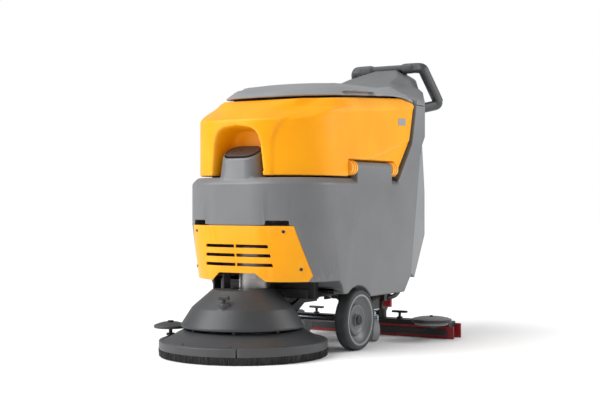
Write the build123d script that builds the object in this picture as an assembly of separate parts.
from build123d import *
import math
import os

# Walk-behind floor scrubber dryer, in millimetres.
# X runs across the machine and +X is its left side. The front is -Y. Z is up from the floor.
# Everything is drawn with the main wheel axle at Y = 0, and save() moves it by AXLE_Y,
# which puts the origin on the floor under the middle of the machine's box.
AXLE_Y = -118.1

# driving dimensions
BODY_HALF = 262          # half the width of the solution tank
BODY_FRONT = -345        # its front wall
BODY_CORNER = 200        # plan radius of its front corners
BODY_BOTTOM = 235        # lower edge of its front
SKIRT_BOTTOM = 170       # lower edge of the skirts behind the wheels
UNDERSIDE = 205          # underside between the skirts
SHOULDER = 548           # where the ledge starts
LEDGE_TOP = 567          # flat top under the recovery tank
COLUMN_TOP = 838         # where the console sits on the rear column
WALL = 6                 # rotomoulded wall

WHEEL_R = 100
WHEEL_IN = 224
WHEEL_OUT = 272
RIM_R = 83
AXLE_R = 12

DECK_Y = -287            # brush centre
RING_R = 270
MOTOR_Y = -225
MOTOR_R = 50
PIVOT_Y = 40             # deck lift pivot
PIVOT_Z = 165
BUMPER = (-262, -330)    # wall roller on the deck
TILT_KNOB = (28, -434)

CASTER_X = 160
CASTER_Y = 265
CASTER_R = 40
CASTER_TRAIL = 30
CASTER_TURN = 41         # how far the casters stand turned at rest

ARM_Y = 318              # squeegee arm pivot
ARM_Z = 148
HEAD_Y = 470             # squeegee swivel
BLADE_HALF = 405
BLADE_Y = 436
END_ROLLER = (352, 365)
SQUEEGEE_KNOB = (178, 462)
SPIGOT = (90, 470)       # suction spigot on the squeegee
SPIGOT_Z = 88            # where it starts to lean back
SPIGOT_R = 24
SPIGOT_BORE = 17
SPIGOT_LENGTH = 72
SPIGOT_GRIP = 40         # length that the hose cuff covers

TANK_HALF = 258
TANK_FRONT = -333
TANK_CORNER = 225
TANK_BOTTOM = 579
HINGE_X = 240            # recovery tank hinge along the left ledge
HINGE_Z = 601
LID_HINGE_Y = -188
LID_HINGE_Z = 838
NECK_Y = -290
NECK_Z = 647.5           # middle of the sloping cap
PLUG_X = -28
NECK_TILT = math.degrees(math.atan2(39, 76))

PANEL_Y = 760.5          # middle of the sloping control panel
PANEL_Z = 965.5
PANEL_TILT = math.degrees(math.atan2(71, 59))

FIT = 0.05               # radial clearance of running fits
GAP = 0.5                # side clearance between moving parts


def block(x0, x1, y0, y1, z0, z1):
    return Pos((x0 + x1) / 2, (y0 + y1) / 2, (z0 + z1) / 2) * Box(x1 - x0, y1 - y0, z1 - z0)


def rod_x(radius, x0, x1, y, z):
    return Pos((x0 + x1) / 2, y, z) * Rot(0, 90, 0) * Cylinder(radius, abs(x1 - x0))


def rod_y(radius, x, y0, y1, z):
    return Pos(x, (y0 + y1) / 2, z) * Rot(90, 0, 0) * Cylinder(radius, y1 - y0)


def rod_z(radius, x, y, z0, z1):
    return Pos(x, y, (z0 + z1) / 2) * Cylinder(radius, z1 - z0)


def cone_z(low_radius, high_radius, x, y, z0, z1):
    return Pos(x, y, (z0 + z1) / 2) * Cone(low_radius, high_radius, z1 - z0)


def ring_z(outer, inner, x, y, z0, z1):
    return rod_z(outer, x, y, z0, z1) - rod_z(inner, x, y, z0 - 1, z1 + 1)


def side_prism(points, x0, x1):
    """Outline in Y and Z, pushed along X."""
    return extrude(Plane.YZ.offset(x0) * Polygon(*points, align=None), amount=x1 - x0, dir=(1, 0, 0))


def front_prism(points, y0, y1):
    """Outline in X and Z, pushed along Y."""
    return extrude(Plane.XZ.offset(-y0) * Polygon(*points, align=None), amount=y1 - y0, dir=(0, 1, 0))


def plan_prism(points, z0, z1):
    """Outline in X and Y, pushed along Z."""
    return extrude(Plane.XY.offset(z0) * Polygon(*points, align=None), amount=z1 - z0, dir=(0, 0, 1))


def mirrored(points):
    """Half an outline and its mirror image in the first coordinate."""
    return points + [(-a, b) for a, b in reversed(points) if a != 0]


def both_sides(shape):
    return [shape, mirror(shape, about=Plane.YZ)]


def joined(shapes):
    result = shapes[0]
    for shape in shapes[1:]:
        result = result + shape
    return result


def without(shape, tools):
    for tool in tools:
        shape = shape - tool
    return shape


def tank_plan(half, front, corner, rear, z):
    """Plan outline with two large front corners."""
    cx = half - corner
    cy = front + corner
    diagonal = corner * math.sqrt(0.5)
    edges = [
        Line((-half, rear), (-half, cy)),
        ThreePointArc((-half, cy), (-cx - diagonal, cy - diagonal), (-cx, front)),
        Line((-cx, front), (cx, front)),
        ThreePointArc((cx, front), (cx + diagonal, cy - diagonal), (half, cy)),
        Line((half, cy), (half, rear)),
        Line((half, rear), (-half, rear)),
    ]
    return Plane.XY.offset(z) * make_face(edges)


def body_plan(inset, rear, z):
    return tank_plan(BODY_HALF - inset, BODY_FRONT + inset, BODY_CORNER - inset, rear, z)


def leaning_front(inset, rear, low, high):
    """Lower front of the tank and its cover, leaning in towards the lower edge."""
    deeper = BODY_CORNER + FRONT_LEAN
    bottom = tank_plan(BODY_HALF - inset, BODY_FRONT + FRONT_LEAN + inset, deeper - inset, rear, low)
    return loft([bottom.face(), body_plan(inset, rear, high).face()])


def upright(face, height, taper=0):
    return extrude(face, amount=height, taper=taper)


def save(name, shapes):
    """Writes one node; a list stays a group of separate solids."""
    solids = []
    for shape in shapes if isinstance(shapes, list) else [shapes]:
        solids.extend(shape.solids())
    moved = [Pos(0, AXLE_Y, 0) * solid for solid in solids]
    export_step(moved[0] if len(moved) == 1 else Compound(children=moved), "parts/" + name + ".step")


# solution tank with its battery bay, motor bay, neck and rear column

FRONT_LEAN = 22
COVER_LOW = 237
COVER_HIGH = 414
COVER_REAR = -215
COVER_HALF = [(0, 237), (214, 237), (224, 256), (194, 414), (0, 414)]
COVER_NOTCH = [(0, 200), (109, 200), (103, 237), (69, 263), (0, 263)]
BATTERY_BAY = (150, -110, 300)       # half width, front and rear
BAY_FLOOR = 211
MOTOR_BAY = (182, -146, 430)         # half width, rear and ceiling
REAR_BAY = (140, 308)                # half width and front
COLUMN_CORNER = [(262, 500), (200, 619), (200, 900), (400, 900), (400, 500)]


def filler_neck(inset, z0):
    """Tapered oval spout, cut to the slope of its cap."""
    base = Plane.XY.offset(z0) * Pos(0, NECK_Y) * SlotOverall(160 - 2 * inset, 92 - 2 * inset)
    top = Plane.XY.offset(680) * Pos(0, NECK_Y) * SlotOverall(126 - 2 * inset, 76 - 2 * inset)
    above = Pos(0, NECK_Y, NECK_Z) * Rot(NECK_TILT, 0, 0) * block(-150, 150, -100, 100, 0, 120)
    return loft([base.face(), top.face()]) - above


def tank_cavity():
    """Clean water space: round the battery bay, over the motor bay and up into the wings."""
    slope = [(-400, 245), (382, 245), (434, 542), (-400, 542)]
    lower = upright(body_plan(WALL, 600, 245), 297) & side_prism(slope, -300, 300)
    wing = [(288, 530), (304, 552), (406, 700), (442, 832), (492, 832), (492, 760), (432, 530)]
    wings = [side_prism(wing, 148, 256), side_prism(wing, -256, -148)]
    half, front, rear = BATTERY_BAY
    batteries = block(-half - WALL, half + WALL, front - WALL, 620, 200, 600)
    half, rear, ceiling = MOTOR_BAY
    motor = block(-half - WALL, half + WALL, -400, rear + WALL, 200, ceiling + WALL)
    behind_cover = block(-300, 300, -400, -95, 200, 420)
    return joined([without(lower, [batteries, motor, behind_cover])] + wings)


def solution_tank():
    side = [(BODY_FRONT, BODY_BOTTOM), (-122, BODY_BOTTOM), (-110, 224), (-100, 208), (-92, 190)]
    side += [(-60, 190), (60, SKIRT_BOTTOM), (338, SKIRT_BOTTOM)]
    side += [(391, 229), (470, 680), (530, 760), (590, COLUMN_TOP), (434, COLUMN_TOP)]
    side += [(398, 697), (296, LEDGE_TOP), (BODY_FRONT, LEDGE_TOP)]
    base = tank_plan(BODY_HALF, BODY_FRONT + FRONT_LEAN, BODY_CORNER + FRONT_LEAN, 700, 150)
    lower = upright(body_plan(0, 700, COVER_HIGH), SHOULDER - COVER_HIGH)
    lower = joined([upright(base, COVER_LOW - 150), leaning_front(0, 700, COVER_LOW, COVER_HIGH), lower])
    ledge = upright(body_plan(0, 700, SHOULDER), LEDGE_TOP - SHOULDER, taper=45)
    column = block(-BODY_HALF, BODY_HALF, 290, 700, SHOULDER - 1, COLUMN_TOP)
    shape = joined([lower, ledge, column]) & side_prism(side, -300, 300)
    for x_sign in (-1, 1):
        shape = shape - plan_prism([(x_sign * x, y) for x, y in COLUMN_CORNER], 100, 900)
    barrel = rod_y(22, HINGE_X, -7 + GAP, 242 - GAP, HINGE_Z)
    barrel = barrel + block(HINGE_X - 14, BODY_HALF, -7 + GAP, 242 - GAP, SHOULDER - 20, HINGE_Z)
    shape = joined([shape, filler_neck(0, LEDGE_TOP - 12), barrel])
    cover_space = front_prism(mirrored(COVER_HALF), -400, COVER_REAR + 1)
    below_cover = block(-214, 214, -400, COVER_REAR + 1, 200, COVER_LOW + 1)
    tools = [tank_cavity(), filler_neck(WALL, 530), cover_space, below_cover]
    half, front, rear = BATTERY_BAY
    tools.append(block(-half, half, front, rear, BAY_FLOOR, 700))
    half, rear, ceiling = MOTOR_BAY
    tools.append(block(-half, half, -400, rear, 100, COVER_HIGH))
    tools.append(block(-half, half, BODY_FRONT + WALL + 2, rear, COVER_HIGH - 1, ceiling))
    tools.append(block(-218, 218, -121, 345, 100, UNDERSIDE))
    bay = [(REAR_BAY[1], 240), (REAR_BAY[1], 560), (406, 700), (442, 754), (700, 754), (700, 240)]
    tools.append(side_prism(bay, -REAR_BAY[0], REAR_BAY[0]))
    tools.append(block(-190, 190, 450, 545, 768, COLUMN_TOP + 10))
    tools.append(rod_y(8, HINGE_X, -100, 300, HINGE_Z))
    tools.append(rod_x(112, 216, 270, 0, WHEEL_R))
    tools.append(rod_x(112, -270, -216, 0, WHEEL_R))
    return without(shape, tools)


def front_cover():
    """Yellow cover over the brush motor, leaning in towards its lower edge."""
    outer = leaning_front(0, -90, COVER_LOW, COVER_HIGH)
    inner = leaning_front(5, -80, COVER_LOW - 7, COVER_HIGH + 6)
    shape = (outer - inner) & front_prism(mirrored(COVER_HALF), -400, COVER_REAR)
    shape = shape - front_prism(mirrored(COVER_NOTCH), -400, -200)
    for level, half in ((349, 118), (320, 123), (290, 127)):
        slot = mirrored([(3, level - 5), (half + 2, level - 5), (half, level + 5), (3, level + 5)])
        shape = shape - front_prism(slot[:4], -400, -280) - front_prism(slot[4:], -400, -280)
    return without(shape, cover_screws())


def cover_screws():
    """Two cross-head screws in each side of the front cover."""
    screws = []
    for angle, radius, z in ((57.7, 196, 396), (39.8, 184, 277)):
        turn = math.radians(angle)
        x = BODY_HALF - BODY_CORNER + radius * math.cos(turn)
        y = BODY_FRONT + BODY_CORNER - radius * math.sin(turn)
        screw = Pos(x, y, z) * Rot(0, 0, -angle) * Rot(0, 90, 0) * Cylinder(5, 14)
        screws += both_sides(screw)
    return screws


REAR_COVER = [(398.5, 246), (459, 213), (550, 376), (550, 484), (524, 700), (532, 753)]
REAR_COVER += [(525, 751), (473, 684)]


def rear_cover():
    """Lighter shell over the hoses and electrics behind the tank."""
    inside = [(380, 260), (457, 220), (544, 378), (544, 484), (518, 700), (519, 738), (440, 738)]
    shape = side_prism(REAR_COVER, -240, 240) - side_prism(inside, -235, 235)
    for x_sign in (-1, 1):
        shape = shape - plan_prism([(x_sign * x, y) for x, y in COLUMN_CORNER], 100, 900)
    return shape - rod_z(13, 222, 408, 200, 262)


CONSOLE_SIDE = [(434, 838.5), (434, 909), (690, 1001), (731, 1001), (790, 930), (712, 850), (590, 838.5)]
CONSOLE_FRONT = [(262, 830), (262, 858), (200, 885), (150, 912), (120, 930), (105, 961), (48, 1001)]
CONSOLE_PLAN = [(262, 400), (262, 500), (150, 715), (90, 760), (78, 792)]


def console_outline():
    shape = side_prism(CONSOLE_SIDE, -262, 262)
    shape = shape & front_prism(mirrored(CONSOLE_FRONT), 400, 820)
    return shape & plan_prism(mirrored(CONSOLE_PLAN), 800, 1050)


def on_panel(shape):
    """Places a shape that is drawn flat, panel face up, on the sloping control panel."""
    return Pos(0, PANEL_Y, PANEL_Z) * Rot(-PANEL_TILT, 0, 0) * shape


PANEL_BUTTONS = {"brush_button": (-38, 20), "vacuum_button": (38, 20)}
WATER_KNOB = (38, -20)
KEY_SWITCH = (-38, -20)


def console_housing():
    inside = block(-150, 150, 470, 640, 830, 880) + block(-70, 70, 560, 700, 830, 940)
    return without(console_outline(), [inside, handle_bar(), on_panel(block(-68, 68, -40, 40, -6, 20))])


def control_panel():
    plate = block(-68, 68, -40, 40, -6, 1)
    pockets = [rod_z(11 + GAP, x, y, -1, 8) for x, y in PANEL_BUTTONS.values()]
    stems = [rod_z(4 + FIT, x, y, -8, 8) for x, y in PANEL_BUTTONS.values()]
    knob_stem = rod_z(4 + FIT, WATER_KNOB[0], WATER_KNOB[1], -4, 8)
    switch = rod_z(9, KEY_SWITCH[0], KEY_SWITCH[1], -3, 8)
    return on_panel(without(plate, pockets + stems + [knob_stem, switch]))


def panel_button(place):
    x, y = place
    return on_panel(rod_z(10.5, x, y, 2.5, 6) + rod_z(4, x, y, -2.5, 2.5))


def water_knob():
    x, y = WATER_KNOB
    grip = block(x - 2, x + 2, y - 11, y + 11, 12, 15)
    return on_panel(rod_z(12, x, y, 1.5, 12) + grip + rod_z(4, x, y, -3.5, 1.5))


def key_switch():
    x, y = KEY_SWITCH
    keyway = block(x - 1.3, x + 1.3, y - 5.2, y + 5.2, -2, 6)
    return on_panel(rod_z(9, x, y, -3, 5) - keyway - rod_z(5.3, x, y, -2, 6))


def key():
    x, y = KEY_SWITCH
    return on_panel(rod_z(5.25, x, y, -1.5, 5) + block(x - 1, x + 1, y - 9, y + 9, 5, 22))


def handle_bar():
    bar = block(-140, 140, 695, 731, 986, 1027)
    return fillet(bar.edges().filter_by(Axis.X), 12)


def handle():
    """Cross bar with a closed grip loop at each side."""
    route = FilletPolyline((120, 713, 1006), (148, 714, 1004), (180, 786, 878), (128, 680, 842), radius=16)
    grip = sweep(Plane(origin=route @ 0, z_dir=route % 0) * Circle(15), path=route)
    inside = console_outline()
    loops = [solid - inside for solid in both_sides(grip)]
    return joined([handle_bar()] + loops)


# chassis and what hangs under it

def chassis_frame():
    rails = [block(125, 155, -150, 330, 175, UNDERSIDE)]
    rails.append(block(198, 212, -24, 24, 80, UNDERSIDE))
    rails.append(block(48, 58, 24, 56, 150, UNDERSIDE))
    rails.append(block(135, 185, 240, 290, 112, UNDERSIDE))
    rails.append(block(40, 50, 300, 336, 132, UNDERSIDE))
    rails.append(block(152, 164, 302, 338, 136, UNDERSIDE))
    pieces = [solid for rail in rails for solid in both_sides(rail)]
    for y, reach, under in ((-150, 155, 175), (-15, 212, 183), (24, 155, 183), (300, 155, 175)):
        pieces.append(block(-reach, reach, y, y + 30, under, UNDERSIDE))
    pieces.append(block(-185, 185, 250, 280, 175, UNDERSIDE))
    pieces.append(block(-180, 180, -145, -122, 175, BODY_BOTTOM))
    holes = [rod_x(AXLE_R, -300, 300, 0, WHEEL_R), rod_x(8, -90, 90, PIVOT_Y, PIVOT_Z)]
    holes.append(rod_x(8, -90, 90, ARM_Y, ARM_Z))
    holes.append(rod_x(5, -220, 220, ARM_Y, 152))
    return without(joined(pieces), holes)


def pivot_pins():
    """Pins of the deck arm, the squeegee arm and the lift pedal."""
    pins = both_sides(rod_x(8, 48, 82, PIVOT_Y, PIVOT_Z))
    pins += both_sides(rod_x(8, 22, 50, ARM_Y, ARM_Z))
    return pins + [rod_x(5, 152, 204, ARM_Y, 152)]


def caster_plate():
    plate = block(135, 185, 240, 290, 107, 112)
    bolts = [rod_z(4, 160 + dx, 265 + dy, 104, 107) for dx in (-18, 18) for dy in (-18, 18)]
    return joined([plate, rod_z(7, CASTER_X, CASTER_Y, 95, 107)] + bolts)


def caster(x_sign, turn):
    """Fork and wheel of one swivel caster, turned about its stem."""
    fork = ring_z(22, 7 + FIT, 0, 0, 92, 101)
    fork = fork + block(-22, CASTER_TRAIL + 6, -18, 18, 88, 92) - rod_z(7 + FIT, 0, 0, 80, 110)
    outline = [(-10, 90), (CASTER_TRAIL + 10, 90), (CASTER_TRAIL + 10, 34), (CASTER_TRAIL - 10, 34)]
    ear = Rot(0, 0, -90) * side_prism(outline, 14, 18)
    fork = joined([fork, ear, mirror(ear, about=Plane.XZ)])
    fork = fork + rod_y(5, CASTER_TRAIL, -18, 18, CASTER_R)
    wheel = rod_y(CASTER_R, CASTER_TRAIL, -12, 12, CASTER_R) - rod_y(5 + FIT, CASTER_TRAIL, -20, 20, CASTER_R)
    place = Pos(x_sign * CASTER_X, CASTER_Y, 0) * Rot(0, 0, turn)
    return place * fork, place * wheel


def tyre():
    shape = rod_x(WHEEL_R, WHEEL_IN, WHEEL_OUT, 0, WHEEL_R)
    shape = fillet(shape.edges(), 9)
    return shape - rod_x(RIM_R, 200, 300, 0, WHEEL_R)


def hub():
    shape = rod_x(RIM_R, WHEEL_IN + 4, 268, 0, WHEEL_R) - rod_x(76, 246, 300, 0, WHEEL_R)
    shape = shape + rod_x(47, 240, 258, 0, WHEEL_R) - rod_x(36, 252, 300, 0, WHEEL_R)
    shape = shape + rod_x(17, 240, 267, 0, WHEEL_R)
    return shape - rod_x(AXLE_R + FIT, 200, 258, 0, WHEEL_R)


def pedal():
    paddle = block(168, 203, 343, 356, 112, 158) + block(168, 203, 318, 350, 147, 157)
    boss = rod_x(9, 166, 203, ARM_Y, 152)
    return joined([paddle, boss]) - rod_x(5 + FIT, 150, 220, ARM_Y, 152)


# brush deck

def deck_plate():
    """Dish over the brush, from the splash ring up to the gearbox."""
    outline = [(250, 36), (256, 36), (256, 50), (248, 52), (190, 84), (40, 88), (40, 82), (188, 78), (250, 45)]
    face = Plane.XZ * Polygon(*outline, align=None)
    shape = Pos(0, DECK_Y, 0) * revolve(face, axis=Axis.Z)
    arm = [(-235, 82), (-150, 82), (-30, 150), (52, 150), (52, 173), (-45, 173), (-200, 110), (-235, 100)]
    return shape, both_sides(side_prism(arm, 60, 72))


def deck_housing():
    """Dish with the short posts that carry the deck cover."""
    shape = deck_plate()[0]
    cover = deck_cover()
    for angle in (200, 245, 295, 340):
        turn = math.radians(angle)
        post = rod_z(5, 180 * math.cos(turn), DECK_Y + 180 * math.sin(turn), 82, 122)
        shape = shape + (post - cover).solids().sort_by(Axis.Z)[0]
    return shape


def deck_arms():
    arms = deck_plate()[1]
    tie = block(-60, 60, -60, -48, 142, 152)
    dish = deck_plate()[0]
    joined_arms = joined(arms + [tie]) - rod_x(8 + FIT, -100, 100, PIVOT_Y, PIVOT_Z)
    return joined_arms - dish - block(-100, 100, -300, 0, 60, 82) - gearmotor()


def splash_ring():
    ring = ring_z(RING_R, 256, 0, DECK_Y, 24, 50)
    for angle in (25, 120, 205, 300):
        slit = Pos(0, DECK_Y, 0) * Rot(0, 0, angle) * block(240, 290, -1.5, 1.5, 0, 60)
        ring = ring - slit
    return ring


def bristle_skirt():
    return ring_z(RING_R - 1, 258, 0, DECK_Y, 1, 24)


def deck_cover():
    """Stepped cover of the gearbox, cut square behind for the motor."""
    outline = [(196, 92), (200, 92), (200, 100), (165, 154), (100, 210), (40, 210), (40, 206)]
    outline += [(98, 206), (161, 152), (196, 98)]
    shape = Pos(0, DECK_Y, 0) * revolve(Plane.XZ * Polygon(*outline, align=None), axis=Axis.Z)
    shape = shape - block(-300, 300, -228, 0, 50, 300) - block(-114, -66, -302, -220, 90, 300)
    boss = rod_z(14, *TILT_KNOB, 150, 176)
    shape = shape + (boss - Pos(0, DECK_Y, 0) * cone_z(300, 96, 0, 0, 18, 206))
    return shape - rod_z(5 + FIT, *TILT_KNOB, 140, 200) - rod_z(MOTOR_R, 0, MOTOR_Y, 80, 300)


def gearmotor():
    box = rod_z(58, 0, DECK_Y, 88, 150) + rod_z(58, 0, MOTOR_Y, 88, 150)
    box = box + block(-58, 58, DECK_Y, MOTOR_Y, 88, 150)
    can = rod_z(MOTOR_R, 0, MOTOR_Y, 140, 330) + rod_z(42, 0, MOTOR_Y, 330, 346)
    return joined([box, can, rod_z(AXLE_R, 0, DECK_Y, 36, 90)])


def lift_bracket():
    """Black plates beside the motor that the lift pulls on."""
    plates = [block(-112, -106, -300, -262, 86, 268), block(-74, -68, -300, -262, 86, 268)]
    shape = joined(plates + [rod_x(6, -112, -68, -281, 252)])
    return without(shape, [deck_plate()[0], gearmotor()])


def bumper_bracket():
    x, y = BUMPER
    foot = rod_z(14, x, y, 50, 58)
    return foot + rod_z(6, x, y, 50, 97) + rod_z(10, x, y, 94.5, 99) - deck_plate()[0]


def bumper_roller():
    x, y = BUMPER
    shape = rod_z(55, x, y, 75, 84) + cone_z(55, 30, x, y, 84, 94)
    return shape - rod_z(6 + FIT, x, y, 60, 120)


def tilt_knob():
    x, y = TILT_KNOB
    return rod_z(5, x, y, 158, 190) + block(x - 19, x + 19, y - 6, y + 6, 187, 199)


def brush_plate():
    shape = rod_z(238, 0, DECK_Y, 28, 36) + rod_z(32, 0, DECK_Y, 36, 62)
    return shape - rod_z(AXLE_R + FIT, 0, DECK_Y, 34, 90)


def brush_bristles():
    return ring_z(236, 100, 0, DECK_Y, 0, 28)


# squeegee

def squeegee_arm():
    arm = [(304, 136), (332, 136), (430, 92), (500, 92), (500, 104), (436, 104), (330, 162), (304, 162)]
    shape = side_prism(arm, -22, 22) - rod_x(8 + FIT, -60, 60, ARM_Y, ARM_Z)
    return shape + rod_z(9, 0, HEAD_Y, 64, 94)


def squeegee_body():
    shape = block(-385, 385, 441, 497, 36, 60) + rod_z(26, 0, HEAD_Y, 60, 82)
    for x_sign in (-1, 1):
        x, y = x_sign * END_ROLLER[0], END_ROLLER[1]
        arm = plan_prism([(x - 16, 445), (x + 16, 445), (x + 10, y), (x - 10, y)], 44, 52)
        shape = joined([shape, arm, rod_z(12, x, y, 44, 55), rod_z(6, x, y, 44, 90)])
        shape = shape + rod_z(11, x_sign * SQUEEGEE_KNOB[0], SQUEEGEE_KNOB[1], 55, 68)
        shape = shape - rod_z(5 + FIT, x_sign * SQUEEGEE_KNOB[0], SQUEEGEE_KNOB[1], 50, 80)
    shape = shape - rod_z(9 + FIT, 0, HEAD_Y, 62, 100)
    return shape - rod_z(SPIGOT_BORE, *SPIGOT, 0, 100)


def suction_nozzle():
    """Spigot for the suction hose, leaning back 45 degrees from a short upright foot."""
    collar = SPIGOT_R + 2
    foot = rod_z(collar, *SPIGOT, 60, SPIGOT_Z) + Pos(*SPIGOT, SPIGOT_Z) * Sphere(collar)
    lean = Pos(*SPIGOT, SPIGOT_Z) * Rot(-45, 0, 0)
    seat = SPIGOT_LENGTH - SPIGOT_GRIP
    shape = foot + lean * rod_z(collar, 0, 0, 0, seat) + lean * rod_z(SPIGOT_R, 0, 0, seat, SPIGOT_LENGTH)
    bore = rod_z(SPIGOT_BORE, *SPIGOT, 50, SPIGOT_Z) + Pos(*SPIGOT, SPIGOT_Z) * Sphere(SPIGOT_BORE)
    return shape - bore - lean * rod_z(SPIGOT_BORE, 0, 0, 0, SPIGOT_LENGTH + 1)


def front_blade():
    return block(-BLADE_HALF, BLADE_HALF, BLADE_Y, BLADE_Y + 5, 0.5, 44)


def rear_blade():
    return block(-BLADE_HALF, BLADE_HALF, 497, 502, 0.5, 52)


def blade_strips():
    return [block(-378, 378, BLADE_Y - 6, BLADE_Y, 12, 34), block(-378, 378, 502, 507, 16, 44)]


def squeegee_knob(x_sign):
    x, y = x_sign * SQUEEGEE_KNOB[0], SQUEEGEE_KNOB[1]
    return rod_z(5, x, y, 52, 84) + block(x - 30, x + 30, y - 8, y + 8, 82, 90)


def end_roller(x_sign):
    x, y = x_sign * END_ROLLER[0], END_ROLLER[1]
    shape = rod_z(70, x, y, 66, 76) + rod_z(60, x, y, 57, 66) + cone_z(66, 30, x, y, 76, 86)
    return shape - rod_z(6 + FIT, x, y, 40, 100)


# recovery tank and lid

TANK_SIDE = [(-333, 579), (-333, 757), (-218, 820), (-190, 822), (335, 855), (424, 835)]
TANK_SIDE += [(388, 697), (284, 573), (284, 579)]
ARCH_HALF = [(0, 560), (90, 560), (90, 579), (79, 672), (52, 726), (0, 726)]
MOUTH = (150, -85, 290)              # half width, front and rear


def recovery_tank():
    shape = upright(tank_plan(TANK_HALF, TANK_FRONT, TANK_CORNER, 600, TANK_BOTTOM), 300)
    shape = shape & side_prism(TANK_SIDE, -300, 300)
    shape = shape & front_prism(mirrored([(TANK_HALF, 560), (TANK_HALF, 808), (232, 862)]), -400, 600)
    inner_side = [(-327, 585), (-327, 752), (-215, 812), (-188, 815), (335, 848), (416, 830)]
    inner_side += [(382, 699), (288, 585)]
    cavity = upright(tank_plan(TANK_HALF - WALL, TANK_FRONT + WALL, TANK_CORNER - WALL, 600, 570), 320)
    cavity = cavity & side_prism(inner_side, -300, 300)
    cavity = cavity & front_prism(mirrored([(252, 560), (252, 804), (228, 852)]), -400, 600)
    arch_wall = [(0, 500), (96, 500), (96, 579), (85, 674), (56, 732), (0, 732)]
    cavity = cavity - front_prism(mirrored(arch_wall), -400, -230)
    hinge_wall = rod_y(32, HINGE_X, -55, 295, HINGE_Z) + block(206, 300, -55, 295, 560, HINGE_Z)
    shape = without(shape, [cavity - hinge_wall, front_prism(mirrored(ARCH_HALF), -400, -236)])
    shape = shape - block(-MOUTH[0], MOUTH[0], MOUTH[1], MOUTH[2], 700, 900)
    recess = rod_y(24, HINGE_X, -7, 242, HINGE_Z) + block(HINGE_X - 24, 300, -7, 242, 560, HINGE_Z)
    shape = shape - recess
    shape = shape - block(HINGE_X, 300, -47, -7, 560, HINGE_Z) - block(HINGE_X, 300, 242, 300, 560, HINGE_Z)
    knuckles = rod_y(22, HINGE_X, -47, -7, HINGE_Z) + rod_y(22, HINGE_X, 242, 282, HINGE_Z)
    return shape + knuckles - rod_y(8 + FIT, HINGE_X, -44, 279, HINGE_Z)


def tank_hinge_pin():
    return rod_y(8, HINGE_X, -43.5, 278.5, HINGE_Z)


CAGE_X = -115


def float_cage():
    """Float cage under the suction outlet, with its ball."""
    cage = ring_z(34, 31, CAGE_X, 190, 700, 845)
    for turn in range(0, 180, 45):
        slot = Pos(CAGE_X, 190, 0) * Rot(0, 0, turn) * block(-60, 60, -7, 7, 712, 800)
        cage = cage - slot
    return [cage + rod_z(34, CAGE_X, 190, 697, 700), Pos(CAGE_X, 190, 727) * Sphere(26)]


LID_SIDE = [(-195, 831), (-190, 829.5), (335, 862.5), (425, 843), (430, 843), (430, 909)]
LID_SIDE += [(335, 886), (0, 880), (-105, 872), (-180, 848), (-195, 840)]
LID_FRONT = -195
LID_CORNER = 236


def tank_lid():
    shape = upright(tank_plan(248, LID_FRONT, LID_CORNER, 430.5, 780), 200) & side_prism(LID_SIDE, -300, 300)
    shape = shape & front_prism(mirrored([(248, 780), (248, 858), (200, 885), (150, 912)]), -400, 600)
    hollow = [(-100, 820), (-100, 860), (0, 872), (300, 878), (300, 820)]
    shape = shape - side_prism(hollow, -150, 150)
    notch = side_prism([(190, 840), (200, 866), (270, 870), (285, 845)], 225, 260)
    return shape - notch - side_prism([(150, 800), (150, 851), (335, 862.4), (335, 800)], -300, 300)


def lid_gasket():
    seat = [(-190, 823), (300, 853.5), (300, 859.5), (-190, 829)]
    ring = upright(tank_plan(215, -165, 190, 300, 780), 120) & side_prism(seat, -300, 300)
    return ring - upright(tank_plan(192, -142, 167, 292, 700), 200)


def filler_cap():
    cap = extrude(Plane.XY * SlotOverall(124, 72), amount=6)
    cap = cap - rod_z(26.3, PLUG_X, 0, -1, 7)
    return Pos(0, NECK_Y, NECK_Z) * Rot(NECK_TILT, 0, 0) * cap


def filler_plug():
    plug = rod_z(26, PLUG_X, 0, -4, 6) - rod_z(4, PLUG_X, 0, 2, 8)
    return Pos(0, NECK_Y, NECK_Z) * Rot(NECK_TILT, 0, 0) * plug


# inner parts

def batteries():
    blocks = []
    for x_sign in (-1, 1):
        case = Pos(x_sign * 75, 0, (BAY_FLOOR + 435) / 2) * Box(142, 200, 435 - BAY_FLOOR)
        posts = [rod_z(9, x_sign * 110, y, 435, 450) for y in (-70, 70)]
        blocks.append(joined([case] + posts))
    return blocks


def vacuum_motor():
    return rod_z(75, 0, 205, BAY_FLOOR, 290) + rod_z(62, 0, 205, 290, 380) + rod_z(34, 0, 205, 380, 410)


def control_box():
    return block(-90, 90, 308, 340, 420, 560) + block(-30, 30, 340, 352, 440, 540)


def water_valve():
    shape = block(84, 130, -176, -146, 300, 360) + rod_z(12, 107, -161, 360, 384)
    return shape + rod_z(9, 107, -161, 280, 300)


LEVEL_HOSE = [(222, 448, 420), (222, 430, 330), (222, 412, 258), (222, 402, 205)]
LEVEL_HOSE += [(222, 352, 154), (212, 292, 150)]
HOSE_R = 8


def hose_radii(points):
    """Largest arcs that the runs on each side of a corner allow."""
    radii = []
    for before, at, after in zip(points, points[1:], points[2:]):
        into = Vector(*at) - Vector(*before)
        out = Vector(*after) - Vector(*at)
        half_turn = math.radians(into.get_angle(out) / 2)
        radii.append(0.45 * min(into.length, out.length) / math.tan(half_turn))
    return radii


def level_hose():
    radii = hose_radii(LEVEL_HOSE)
    path = FilletPolyline(*LEVEL_HOSE, radius=radii)
    tube = sweep(Plane(origin=path @ 0, z_dir=path % 0) * Circle(HOSE_R), path=path)
    print("hose radii", [round(r) for r in radii], "length", round(path.length))
    print("hose volume ratio", round(tube.volume / (math.pi * HOSE_R ** 2 * path.length), 4))
    return tube


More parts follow.
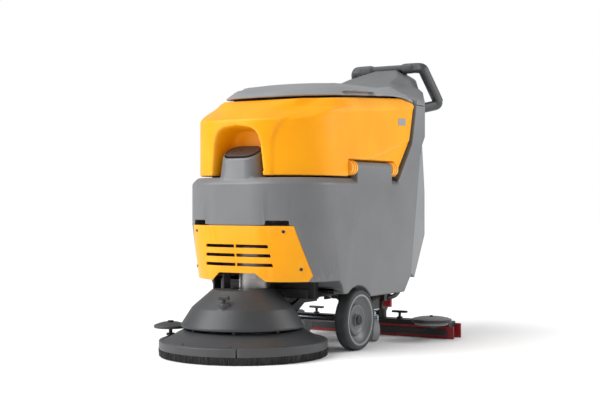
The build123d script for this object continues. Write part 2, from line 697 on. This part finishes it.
def hose_fittings():
    """Collar where the hose leaves the rear cover, and the elbow on the tank."""
    collar = rod_z(12, 222, 408, 214, 240)
    elbow = block(200, 217, 276, 292, 140, 165) + block(200, 217, 268, 284, 140, UNDERSIDE)
    tube = level_hose()
    return [collar - tube, elbow - tube]


NODES = {
    "chassis_frame": chassis_frame,
    "wheel_axle": lambda: rod_x(AXLE_R, -256, 256, 0, WHEEL_R),
    "pivot_pins": pivot_pins,
    "caster_plates": lambda: both_sides(caster_plate()),
    "solution_tank": solution_tank,
    "front_cover": front_cover,
    "cover_screws": cover_screws,
    "rear_cover": rear_cover,
    "console_housing": console_housing,
    "control_panel": control_panel,
    "brush_button": lambda: panel_button(PANEL_BUTTONS["brush_button"]),
    "vacuum_button": lambda: panel_button(PANEL_BUTTONS["vacuum_button"]),
    "water_knob": water_knob,
    "key_switch": key_switch,
    "key": key,
    "handle": handle,
    "filler_cap": filler_cap,
    "filler_plug": filler_plug,
    "batteries": batteries,
    "vacuum_motor": vacuum_motor,
    "control_box": control_box,
    "water_valve": water_valve,
    "level_hose": level_hose,
    "hose_fittings": hose_fittings,
    "lift_pedal": pedal,
    "recovery_tank": recovery_tank,
    "tank_hinge_pin": tank_hinge_pin,
    "float_cage": float_cage,
    "tank_lid": tank_lid,
    "lid_gasket": lid_gasket,
    "deck_housing": deck_housing,
    "deck_arms": deck_arms,
    "splash_ring": splash_ring,
    "bristle_skirt": bristle_skirt,
    "deck_cover": deck_cover,
    "brush_gearmotor": gearmotor,
    "lift_bracket": lift_bracket,
    "bumper_bracket": bumper_bracket,
    "bumper_roller": bumper_roller,
    "tilt_knob": tilt_knob,
    "brush_plate": brush_plate,
    "brush_bristles": brush_bristles,
    "squeegee_arm": squeegee_arm,
    "squeegee_body": squeegee_body,
    "suction_nozzle": suction_nozzle,
    "front_blade": front_blade,
    "rear_blade": rear_blade,
    "blade_strips": blade_strips,
}

os.makedirs("parts", exist_ok=True)
for name, make in NODES.items():
    save(name, make())

for side_name, x_sign in (("left", 1), ("right", -1)):
    for part_name, shape in (("tyre", tyre()), ("hub", hub())):
        save(part_name + "_" + side_name, shape if x_sign == 1 else mirror(shape, about=Plane.YZ))
    fork, wheel = caster(x_sign, -x_sign * CASTER_TURN)
    save("caster_fork_" + side_name, fork)
    save("caster_wheel_" + side_name, wheel)
    save("squeegee_knob_" + side_name, squeegee_knob(x_sign))
    save("end_roller_" + side_name, end_roller(x_sign))
